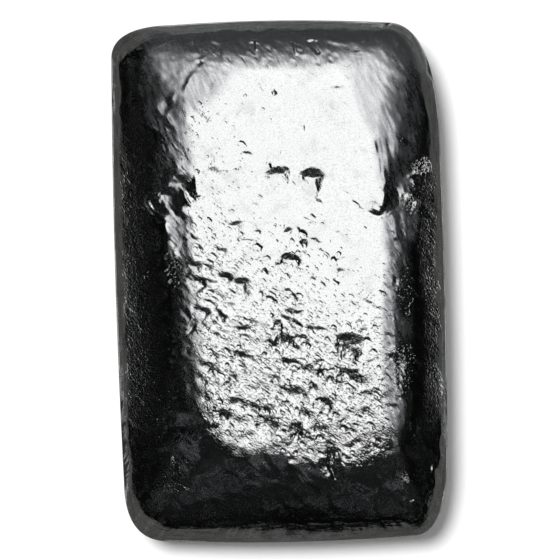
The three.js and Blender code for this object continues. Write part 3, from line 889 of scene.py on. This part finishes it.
def core_grid(core):
    """A Coons patch between the core's four runs: an array of rows by columns of plan points."""
    foot = core[: GRID_COLUMNS + 1]
    right = core[GRID_COLUMNS : GRID_COLUMNS + GRID_ROWS + 1]
    head = core[GRID_COLUMNS + GRID_ROWS : 2 * GRID_COLUMNS + GRID_ROWS + 1][::-1]
    left = np.concatenate([core[2 * GRID_COLUMNS + GRID_ROWS :], core[:1]])[::-1]
    u = np.linspace(0, 1, GRID_COLUMNS + 1)[None, :, None]
    v = np.linspace(0, 1, GRID_ROWS + 1)[:, None, None]
    between_ends = foot[None] * (1 - v) + head[None] * v
    between_sides = left[:, None] * (1 - u) + right[:, None] * u
    straight_foot = foot[0] * (1 - u) + foot[-1] * u
    straight_head = head[0] * (1 - u) + head[-1] * u
    return between_ends + between_sides - straight_foot * (1 - v) - straight_head * v


# ---- Closed mesh ----


def band_faces(first, second, count):
    near = np.arange(count)
    following = (near + 1) % count
    return np.column_stack([first + near, first + following, second + following, second + near])


def core_faces(last_ring, count, first_inner):
    """Quads of the core's grid, whose border is the last shoulder ring."""
    index = np.zeros((GRID_ROWS + 1, GRID_COLUMNS + 1), dtype=int)
    inner = np.arange((GRID_ROWS - 1) * (GRID_COLUMNS - 1)).reshape(GRID_ROWS - 1, GRID_COLUMNS - 1)
    index[1:-1, 1:-1] = first_inner + inner
    index[0] = last_ring + np.arange(GRID_COLUMNS + 1)
    index[:, -1] = last_ring + GRID_COLUMNS + np.arange(GRID_ROWS + 1)
    index[-1] = last_ring + 2 * GRID_COLUMNS + GRID_ROWS - np.arange(GRID_COLUMNS + 1)
    index[1:, 0] = last_ring + count - np.arange(1, GRID_ROWS + 1)
    quads = np.stack([index[:-1, :-1], index[:-1, 1:], index[1:, 1:], index[1:, :-1]], axis=-1)
    return quads.reshape(-1, 4)


def add_attribute(mesh, name, skin_values):
    """Store a value for each vertex: zero on the sides, whose vertices come first."""
    values = np.zeros(len(mesh.vertices))
    values[-len(skin_values):] = skin_values
    mesh.attributes.new(name, "FLOAT", "POINT").data.foreach_set("value", values)


def smooth_skin(edge, core):
    """The skin's points without relief, and for each its part of the way to the core, its
    distance from the edge in mm, which only the rim needs, and if it is off the rim."""
    shoulder, insets, beyond_rim = shoulder_rings(edge, core)
    plan = core_grid(core)[1:-1, 1:-1].reshape(-1, 2)
    points = np.concatenate([*shoulder, np.column_stack([plan, smooth_form(*plan.T)])])
    part = np.concatenate([np.repeat(shoulder_parts(), len(core)), np.ones(len(plan))])
    inset = np.concatenate([insets, np.zeros(len(plan))])
    off_rim = np.concatenate([smooth_step(beyond_rim, *OFF_RIM), np.ones(len(plan))])
    return points, part, inset, off_rim


def steep_sides(x, y, wrinkling):
    """Where warped plan points are on the steep side of a pit."""
    half = PIT_FALL_DISTANCE / 2
    fall = pit_depths(x, y - half, wrinkling) - pit_depths(x, y + half, wrinkling)
    return smooth_step(fall, *PIT_FALLS)


def skin_attributes(x, y, part, inset, off_rim, wrinkling):
    """What the material reads at each point of the skin."""
    place = warped(x, y)
    torn = patches(*place, TORN_PATCHES)
    pitted = PIT_DULLNESS * steep_sides(*place, wrinkling)
    dull = np.maximum(patches(*place, DULL_PATCHES), pitted) * (1 - TEAR_SHINE * torn)
    along = mix(GRAIN_AT_BAR_ENDS, 1, smooth_step(np.abs(y), *GRAIN_WEAKENS))
    grained = (1 - smooth_step(part, *GRAIN_ENDS)) * off_rim * along
    return {
        "wrinkling": wrinkling * roughening(x, y),
        "torn": torn,
        "dull": dull,
        "inset": inset,
        "rim": 1 - off_rim,
        "grained": grained * np.clip(1 - dull, 0, 1),
    }


def casting_mesh():
    outline = outline_points(OUTLINE_CORNERS, OUTLINE_BULGE) * OUTLINE_FIT
    core = outline_points(CORE_CORNERS, CORE_BULGE)
    sides = side_rings(outline, inward_normals(outline))
    skin, part, inset, off_rim = smooth_skin(sides[-1], core)
    x, y, _ = skin.T
    wrinkling = mix(WRINKLING_AT_EDGE, 1, smooth_step(part, *WRINKLING_GROWS)) * off_rim
    attributes = skin_attributes(x, y, part, inset, off_rim, wrinkling)
    skin[:, 2] = np.minimum(skin[:, 2] + relief(x, y, wrinkling) * off_rim, HEIGHT)

    count = len(outline)
    rings = len(sides) + SHOULDER_STEPS
    quads = [band_faces(k * count, (k + 1) * count, count) for k in range(rings - 1)]
    quads.append(core_faces((rings - 1) * count, count, rings * count))
    resting_face = list(range(count))[::-1]

    mesh = bpy.data.meshes.new("ingot_skin")
    points = np.concatenate([*sides, skin]) * MM
    mesh.from_pydata(points.tolist(), [], np.concatenate(quads).tolist() + [resting_face])
    mesh.polygons.foreach_set("use_smooth", [True] * (len(mesh.polygons) - 1) + [False])
    for name, values in attributes.items():
        add_attribute(mesh, name, values)
    mesh.update()
    return mesh


# ---- Node trees ----


class Nodes:
    """Short calls for the node kinds used here."""

    def __init__(self, tree):
        self.tree = tree
        tree.nodes.clear()

    def add(self, kind, sockets=None, **settings):
        node = self.tree.nodes.new(kind)
        for name, value in settings.items():
            setattr(node, name, value)
        for name, value in (sockets or {}).items():
            self.feed(node.inputs[name], value)
        return node

    def feed(self, socket, value):
        if isinstance(value, bpy.types.NodeSocket):
            self.tree.links.new(value, socket)
        else:
            socket.default_value = value

    def math(self, operation, a, b=0.0):
        return self.add("ShaderNodeMath", {0: a, 1: b}, operation=operation).outputs[0]

    def plus(self, a, b):
        return self.math("ADD", a, b)

    def minus(self, a, b):
        return self.math("SUBTRACT", a, b)

    def times(self, a, b):
        return self.math("MULTIPLY", a, b)

    def vectors(self, operation, a, b):
        return self.add("ShaderNodeVectorMath", {0: a, 1: b}, operation=operation).outputs[0]

    def attribute(self, name):
        return self.add("ShaderNodeAttribute", attribute_name=name).outputs["Fac"]

    def split(self, vector):
        return self.add("ShaderNodeSeparateXYZ", {"Vector": vector}).outputs

    def blend(self, factor, first, last):
        """A colour between two others."""
        sockets = {"Factor": factor, "A": first, "B": last}
        return self.add("ShaderNodeMix", sockets, data_type="RGBA").outputs["Result"]

    def ramp(self, value, low, high, to_low=0.0, to_high=1.0, curve="SMOOTHSTEP"):
        """A smooth step from to_low at low to to_high at high, or a straight one."""
        node = self.add(
            "ShaderNodeMapRange",
            {"Value": value, "From Min": low, "From Max": high, "To Min": to_low, "To Max": to_high},
            interpolation_type=curve,
        )
        return node.outputs["Result"]

    def stretched(self, vector, length, width, turn, depth=None):
        """Coordinates in which a unit is the length, along the turned direction, or the width."""
        scale = (length * MM, width * MM, (depth or width) * MM)
        node = self.add(
            "ShaderNodeMapping",
            {"Vector": vector, "Rotation": (0, 0, math.radians(turn)), "Scale": scale},
            vector_type="TEXTURE",
        )
        return node.outputs["Vector"]

    def noise(self, vector, scale, detail, roughness=0.5, result="Fac"):
        node = self.add(
            "ShaderNodeTexNoise",
            {"Vector": vector, "Scale": scale, "Detail": detail, "Roughness": roughness},
        )
        return node.outputs[result]

    def bumps(self, vector, length, width, turn, detail):
        """Noise of bumps with a length along the turned direction and a width."""
        return self.noise(self.stretched(vector, length, width, turn), 1, detail)


# ---- Silver's nodes ----


def small_pits(nodes, vector, share):
    """Depths of pits in a share of the unit cells: steep and arched towards +Y, then a run-out."""
    cells = nodes.add(
        "ShaderNodeTexVoronoi",
        {"Vector": vector, "Scale": 1.0, "Randomness": SMALL_PIT_SCATTER},
        voronoi_dimensions="2D",
    )
    chance, size, _ = nodes.split(cells.outputs["Color"])
    x, y, _ = nodes.split(nodes.vectors("SUBTRACT", vector, cells.outputs["Position"]))
    x = nodes.math("DIVIDE", x, nodes.ramp(size, 0, 1, *SMALL_PIT_HALF_LENGTHS))
    bow = nodes.math("MAXIMUM", nodes.minus(1.0, nodes.math("POWER", x, 2.0)), 0.0)
    below_arch = nodes.minus(nodes.times(bow, SMALL_PIT_ARCH), y)
    steep = nodes.ramp(below_arch, 0, SMALL_PIT_BAND, curve="LINEAR")
    run_out = nodes.ramp(below_arch, SMALL_PIT_BAND, SMALL_PIT_END, curve="LINEAR")
    level = nodes.times(nodes.minus(steep, run_out), bow)
    return nodes.times(level, nodes.math("LESS_THAN", chance, share))


def streaked_dullness(nodes, place):
    """The mesh's dullness, in streaks."""
    streaks = nodes.ramp(nodes.bumps(place, *DULL_STREAKS), *STREAK_DULLNESS)
    return nodes.times(nodes.attribute("dull"), streaks)


def streaks_along_rim(nodes, place):
    """Noise that changes slowly along the rim and quickly across it."""
    along = nodes.stretched(place, RIM_STREAK_LENGTH, RIM_STREAK_LENGTH, 0)
    across = nodes.times(nodes.attribute("inset"), RIM_STREAKS_ACROSS)
    across = nodes.add("ShaderNodeCombineXYZ", {"Z": across}).outputs[0]
    return nodes.noise(nodes.vectors("ADD", along, across), 1, RIM_STREAK_DETAIL)


def silver_colour(nodes, place, level, moulded_or_steep, dull, rim_streaks):
    """Bright skin with dull patches and tarnish, darker sides, and painted shade on the rolled edge
    and steep crevices.
    """
    # Painted shade: the rolled edge and skin steeper than about 40 degrees are made almost black,
    # where they would reflect the white floor.
    side = nodes.blend(nodes.ramp(level, *SIDES_END), SIDE_SILVER, PAINTED_EDGE_SHADE)
    skin = nodes.blend(nodes.times(dull, DULL_COLOUR_SHARE), BRIGHT_SILVER, DULL_SILVER)
    spots = nodes.ramp(nodes.noise(place, *TARNISH_SPOTS), *SPOT_TARNISH)
    stains = nodes.ramp(nodes.noise(place, *TARNISH_STAINS), *STAIN_TARNISH)
    on_rim = nodes.times(nodes.ramp(rim_streaks, *RIM_TARNISH), nodes.attribute("rim"))
    tarnish = nodes.plus(nodes.plus(spots, stains), on_rim)
    return nodes.blend(moulded_or_steep, nodes.blend(tarnish, skin, TARNISH), side)


def silver_roughness(nodes, place, moulded_or_steep, dull):
    polish = nodes.ramp(nodes.noise(place, *POLISH_GRAIN), *GRAIN_ROUGHNESS)
    skin = nodes.plus(polish, nodes.times(dull, DULL_ROUGHNESS))
    mixed = nodes.add("ShaderNodeMix", {"Factor": moulded_or_steep, "A": skin, "B": SIDE_ROUGHNESS})
    return mixed.outputs["Result"]


def wandering(nodes, place):
    """Places shifted at random, which bends the fine relief."""
    shift = nodes.noise(
        place, 1 / (WANDER_LENGTH * MM), WANDER_DETAIL, WANDER_ROUGHNESS, result="Color")
    shift = nodes.add("ShaderNodeVectorMath", {0: shift, "Scale": WANDER * MM}, operation="SCALE")
    return nodes.vectors("ADD", place, shift.outputs[0])


def fine_relief(nodes, place, moulded_or_steep, rim_streaks):
    """Heights in mm of the relief that is finer than the mesh."""
    wrinkling = nodes.attribute("wrinkling")
    height = nodes.bumps(place, *WRINKLES)
    height = nodes.times(height, nodes.ramp(wrinkling, *WRINKLE_HEIGHTS))
    pitted = nodes.ramp(wrinkling, *SMALL_PIT_SHARES)
    for length, width, turn, slope, share in SMALL_PITS:
        cells = nodes.stretched(place, length, width, turn)
        pits = small_pits(nodes, cells, nodes.times(pitted, share))
        depth = SMALL_PIT_BAND * width * math.tan(math.radians(slope))
        height = nodes.minus(height, nodes.times(pits, depth))

    on_rim = nodes.times(nodes.times(rim_streaks, nodes.attribute("rim")), RIM_STREAK_HEIGHT)
    grained = nodes.times(nodes.attribute("grained"), GRAIN_HEIGHT)
    grains = nodes.times(nodes.bumps(place, *GRAINS), grained)
    torn = nodes.times(nodes.attribute("torn"), TEAR_RISE)
    tears = nodes.ramp(nodes.plus(nodes.bumps(place, *TEARS), torn), *TEAR_HEIGHTS)
    marks = nodes.noise(nodes.stretched(place, MARK_LENGTH, MARK_LENGTH, 0, MARK_RISE), 1, MARK_DETAIL)
    marks = nodes.times(nodes.times(marks, moulded_or_steep), MARK_HEIGHT)
    height = nodes.plus(nodes.plus(height, on_rim), nodes.plus(grains, tears))
    return nodes.plus(height, marks)


def new_material(name):
    material = bpy.data.materials.new(name)
    material.use_nodes = True
    return material, Nodes(material.node_tree)


def silver_material():
    """Bright silver: mirror-like skin with fine relief, satin sides that took the mould, and painted
    shade, almost black, on the rolled edge and steep crevices.
    """
    material, nodes = new_material("silver")
    place = nodes.add("ShaderNodeTexCoord").outputs["Object"]
    facing = nodes.add("ShaderNodeNewGeometry").outputs["True Normal"]
    level = nodes.split(facing)["Z"]
    # The sides, the rolled edge and any skin steeper than about 40 degrees; their colour holds the
    # painted shade.
    moulded_or_steep = nodes.ramp(level, *EDGE_ENDS, 1, 0)
    dull = streaked_dullness(nodes, place)
    rim_streaks = streaks_along_rim(nodes, place)
    height = fine_relief(nodes, wandering(nodes, place), moulded_or_steep, rim_streaks)
    bump = nodes.add("ShaderNodeBump", {"Height": height, "Strength": 1.0, "Distance": MM})
    shader = nodes.add("ShaderNodeBsdfPrincipled", {
        "Base Color": silver_colour(nodes, place, level, moulded_or_steep, dull, rim_streaks),
        "Metallic": 1.0,
        "Roughness": silver_roughness(nodes, place, moulded_or_steep, dull),
        "Normal": bump.outputs["Normal"],
    })
    nodes.add("ShaderNodeOutputMaterial", {"Surface": shader.outputs[0]})
    return material


def make_ingot():
    ingot = bpy.data.objects.new("ingot_casting", casting_mesh())
    bpy.context.scene.collection.objects.link(ingot)
    ingot.data.materials.append(silver_material())
    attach(ingot, "root")
    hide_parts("ingot")


# ---- Light, floor and camera ----


def softbox(nodes, x, y, z):
    """The softbox's light in a direction."""
    up = nodes.math("MAXIMUM", z, LEAST_RISE)
    across = nodes.math("DIVIDE", x, up)
    along = nodes.math("DIVIDE", y, up)
    sideways = [nodes.math("DIVIDE", across, edge) for edge in (SOFTBOX_LEFT, SOFTBOX_RIGHT)]
    lengthways = [nodes.math("DIVIDE", along, edge) for edge in (SOFTBOX_FOOT, SOFTBOX_HEAD)]
    powers = [
        nodes.math("POWER", nodes.math("MAXIMUM", *pair), SOFTBOX_SQUARENESS)
        for pair in (sideways, lengthways)
    ]
    beyond = nodes.math("POWER", nodes.plus(*powers), 1 / SOFTBOX_SQUARENESS)
    blur = nodes.ramp(along, 0, SOFTBOX_HEAD, *SOFTBOX_BLURS)
    return nodes.ramp(beyond, nodes.minus(1.0, blur), nodes.plus(1.0, blur), SOFTBOX_LEVEL, 0)


def dim_light(nodes, direction, x, y, z):
    """Faint glows towards the foot and over the head, and uneven spots."""
    foot_glow = nodes.ramp(z, *FOOT_GLOW_UP, 0, FOOT_GLOW_LEVEL)
    foot_glow = nodes.times(foot_glow, nodes.ramp(y, *FOOT_GLOW_ALONG, 1, 0))
    head_glow = nodes.ramp(y, *HEAD_GLOW_ALONG, 0, HEAD_GLOW_LEVEL)
    head_glow = nodes.times(head_glow, nodes.ramp(x, *HEAD_GLOW_ACROSS))
    spots = nodes.ramp(nodes.noise(direction, SPOT_SCALE, SPOT_DETAIL), *SPOT_VALUES, 0, SPOT_LEVEL)
    return nodes.plus(nodes.plus(foot_glow, head_glow), spots)


def walls(nodes, x, y, z):
    """Dim walls up to a low height, and the almost black room above them."""
    towards_corner = nodes.minus(x, nodes.math("ABSOLUTE", y))
    corner = nodes.ramp(towards_corner, *WALL_CORNER_REACH, WALL_CORNER_RISE, 0)
    foot = nodes.ramp(y, *WALL_FOOT_ALONG, WALL_FOOT_RISE, 0)
    height = nodes.minus(z, nodes.math("MAXIMUM", foot, corner))
    top = (WALL_SINE - WALL_BLUR, WALL_SINE + WALL_BLUR)
    return nodes.ramp(height, *top, WALL_LEVEL, DARK_LEVEL)


def make_world():
    """A dark studio with dim walls and one softbox overhead, in front of a white backdrop."""
    world = bpy.data.worlds.new("studio")
    bpy.context.scene.world = world
    world.use_nodes = True
    nodes = Nodes(world.node_tree)
    direction = nodes.add("ShaderNodeTexCoord").outputs["Generated"]
    x, y, z = nodes.split(direction)
    bright = nodes.plus(softbox(nodes, x, y, z), nodes.ramp(z, *HORIZON_UP, HORIZON_LEVEL, 0))
    white = (1, 1, 1, 1)
    lights = [
        nodes.add("ShaderNodeBackground", {"Color": colour, "Strength": level}).outputs[0]
        for colour, level in (
            (white, bright),
            (DIM_TINT, dim_light(nodes, direction, x, y, z)),
            (WALL_TINT, walls(nodes, x, y, z)),
            (white, 1.0),
        )
    ]
    total = nodes.add("ShaderNodeAddShader", {0: lights[0], 1: lights[1]}).outputs[0]
    total = nodes.add("ShaderNodeAddShader", {0: total, 1: lights[2]}).outputs[0]
    seen = nodes.add("ShaderNodeLightPath").outputs["Is Camera Ray"]
    total = nodes.add("ShaderNodeMixShader", {0: seen, 1: total, 2: lights[3]}).outputs[0]
    nodes.add("ShaderNodeOutputWorld", {"Surface": total})


def make_lamp():
    """A soft lamp from the upper left that lights the floor and casts the shadow."""
    lamp = bpy.data.objects.new("key", bpy.data.lights.new("key", "SUN"))
    lamp.data.energy = LAMP_STRENGTH
    lamp.data.angle = LAMP_SPREAD
    lamp.rotation_euler = (LAMP_TILT, LAMP_TILT, 0)
    lamp.visible_glossy = False
    bpy.context.scene.collection.objects.link(lamp)


def floor_material():
    """White paper that glows a little to the camera and in reflections."""
    material, nodes = new_material("floor")
    path = nodes.add("ShaderNodeLightPath").outputs
    seen = nodes.plus(path["Is Camera Ray"], path["Is Glossy Ray"])
    shader = nodes.add("ShaderNodeBsdfPrincipled", {
        "Base Color": (FLOOR_GREY, FLOOR_GREY, FLOOR_GREY, 1),
        "Roughness": 1.0,
        "Specular IOR Level": 0.0,
        "Emission Color": (1, 1, 1, 1),
        "Emission Strength": nodes.times(seen, FLOOR_GLOW),
    })
    nodes.add("ShaderNodeOutputMaterial", {"Surface": shader.outputs[0]})
    return material


def make_floor():
    mesh = bpy.data.meshes.new("floor")
    signs = ((-1, -1), (1, -1), (1, 1), (-1, 1))
    corners = [(x * FLOOR_HALF, y * FLOOR_HALF, -FLOOR_DROP) for x, y in signs]
    mesh.from_pydata(corners, [], [(0, 1, 2, 3)])
    mesh.materials.append(floor_material())
    floor = bpy.data.objects.new("floor", mesh)
    bpy.context.scene.collection.objects.link(floor)


def make_camera():
    camera = bpy.data.objects.new("camera", bpy.data.cameras.new("camera"))
    view_width = PIXELS * MM_PER_PIXEL * MM
    camera.data.sensor_width = CAMERA_SENSOR
    camera.data.lens = CAMERA_SENSOR * CAMERA_DISTANCE / view_width
    camera.data.clip_start = CAMERA_CLIP
    camera.location = (CAMERA_AIM[0], CAMERA_AIM[1], CAMERA_AIM[2] + CAMERA_DISTANCE)
    camera.rotation_euler = (0, 0, -CAMERA_ROLL)
    bpy.context.scene.collection.objects.link(camera)
    bpy.context.scene.camera = camera


make_camera()
make_world()
make_lamp()
make_floor()
make_ingot()
bpy.context.scene.view_settings.view_transform = "Standard"
